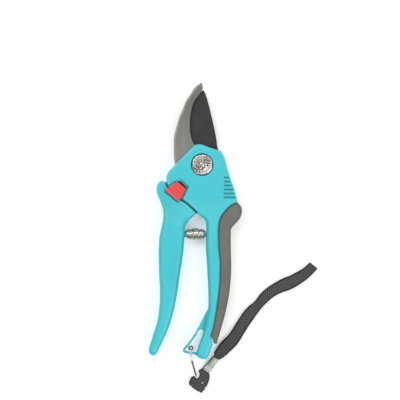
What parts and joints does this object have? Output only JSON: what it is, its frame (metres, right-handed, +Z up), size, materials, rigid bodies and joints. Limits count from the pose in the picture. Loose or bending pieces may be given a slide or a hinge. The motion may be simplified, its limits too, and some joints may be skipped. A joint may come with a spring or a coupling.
{
  "type": "pruning shears",
  "caption": "Bypass pruning shears with a curved cutting blade, a hooked counter blade, a sliding lock, a soft grip and a wrist lanyard.",
  "frame": {"origin": "middle of the shears' own box, without the lanyard, on the surface they lie on", "axes": "+Y towards the blade tips, +Z up out of the front, +X towards the gripped handle"},
  "size_m": [0.1254, 0.2307, 0.0176],
  "materials": {
    "turquoise_plastic": "satin moulded, fine grain",
    "grip_rubber": "matte soft-touch",
    "red_plastic": "satin moulded",
    "satin_steel": "satin ground",
    "coated_steel": "dark low-friction coating",
    "bright_steel": "bright plated",
    "spring_steel": "zinc plated",
    "dark_steel": "blackened",
    "black_cord": "braided",
    "dark_webbing": "woven",
    "crimp_metal": "dull pressed metal"
  },
  "bodies": {
    "gripped_handle": {"right_handle": "turquoise_plastic", "soft_grip": "grip_rubber", "hook_blade": "satin_steel", "pivot_bolt": "bright_steel", "pivot_sleeve": "spring_steel", "pivot_washer": "spring_steel", "pivot_spring_washer": "spring_steel", "pivot_nut": "spring_steel", "lock_detent": "dark_steel", "return_spring": "spring_steel", "lanyard_ring": "dark_steel", "lanyard_link": "bright_steel", "lanyard_cord": "black_cord", "strap_end": "dark_webbing", "strap_eyelet": "crimp_metal", "strap_crimp": "crimp_metal", "wrist_strap": "dark_webbing"},
    "plain_handle": {"left_handle": "turquoise_plastic", "cutting_blade": "coated_steel"},
    "lock": {"lock_button": "red_plastic", "lock_bolt": "dark_steel", "lock_rivet": "spring_steel"}
  },
  "joints": [
    {"name": "handle_pivot", "type": "hinge", "parent": "gripped_handle", "child": "plain_handle", "pos_m": [0.00516, 0.04135, 0.0085], "axis": [0, 0, -1], "range_deg": [0, 30], "deforming": ["return_spring"]},
    {"name": "lock_slide", "type": "slide", "parent": "gripped_handle", "child": "lock", "axis": [0.7254, 0.6884, 0], "range_m": [0, 0.0024]}
  ]
}
